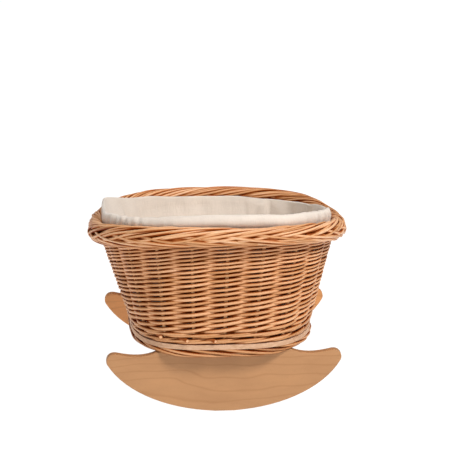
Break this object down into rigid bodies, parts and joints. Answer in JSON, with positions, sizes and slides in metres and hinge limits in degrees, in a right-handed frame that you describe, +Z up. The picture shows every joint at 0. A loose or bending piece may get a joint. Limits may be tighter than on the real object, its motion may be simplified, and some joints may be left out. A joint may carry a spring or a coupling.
{
  "type": "bassinet on rockers",
  "caption": "Small wicker bassinet with a plaited rim and a loose cotton lining, standing on two crescent wooden rockers.",
  "frame": {"origin": "on the floor, under the middle of the basket's outer box", "axes": "+Z up, +Y along the basket towards its low foot end, +X across it, along the rockers"},
  "size_m": [0.3342, 0.454, 0.2649],
  "materials": {
    "willow": "peeled and boiled willow, satin",
    "beech": "clear satin lacquer",
    "plywood": "bare plywood",
    "cotton": "off-white plain-weave cotton",
    "padding": "off-white cotton over wadding",
    "steel": "zinc plated"
  },
  "bodies": {
    "cradle": {"rocker_head": "beech", "rocker_foot": "beech", "base_board": "plywood", "foot_border": "willow", "lower_wale": "willow", "siding": "willow", "rim_border": "willow", "stake_01": "willow", "stake_02": "willow", "stake_03": "willow", "stake_04": "willow", "stake_05": "willow", "stake_06": "willow", "stake_07": "willow", "stake_08": "willow", "stake_09": "willow", "stake_10": "willow", "stake_11": "willow", "stake_12": "willow", "stake_13": "willow", "stake_14": "willow", "stake_15": "willow", "stake_16": "willow", "stake_17": "willow", "stake_18": "willow", "stake_19": "willow", "stake_20": "willow", "stake_21": "willow", "stake_22": "willow", "stake_23": "willow", "stake_24": "willow", "stake_25": "willow", "stake_26": "willow", "screw_head_left": "steel", "screw_head_right": "steel", "screw_foot_left": "steel", "screw_foot_right": "steel"},
    "lining": {"lining": "cotton"},
    "mattress": {"mattress": "padding"}
  },
  "joints": [
    {"name": "lining_lift", "type": "slide", "parent": "cradle", "child": "lining", "axis": [0, 0, 1], "range_m": [0, 0.2]},
    {"name": "mattress_lift", "type": "slide", "parent": "lining", "child": "mattress", "axis": [0, 0, 1], "range_m": [0, 0.2]}
  ]
}
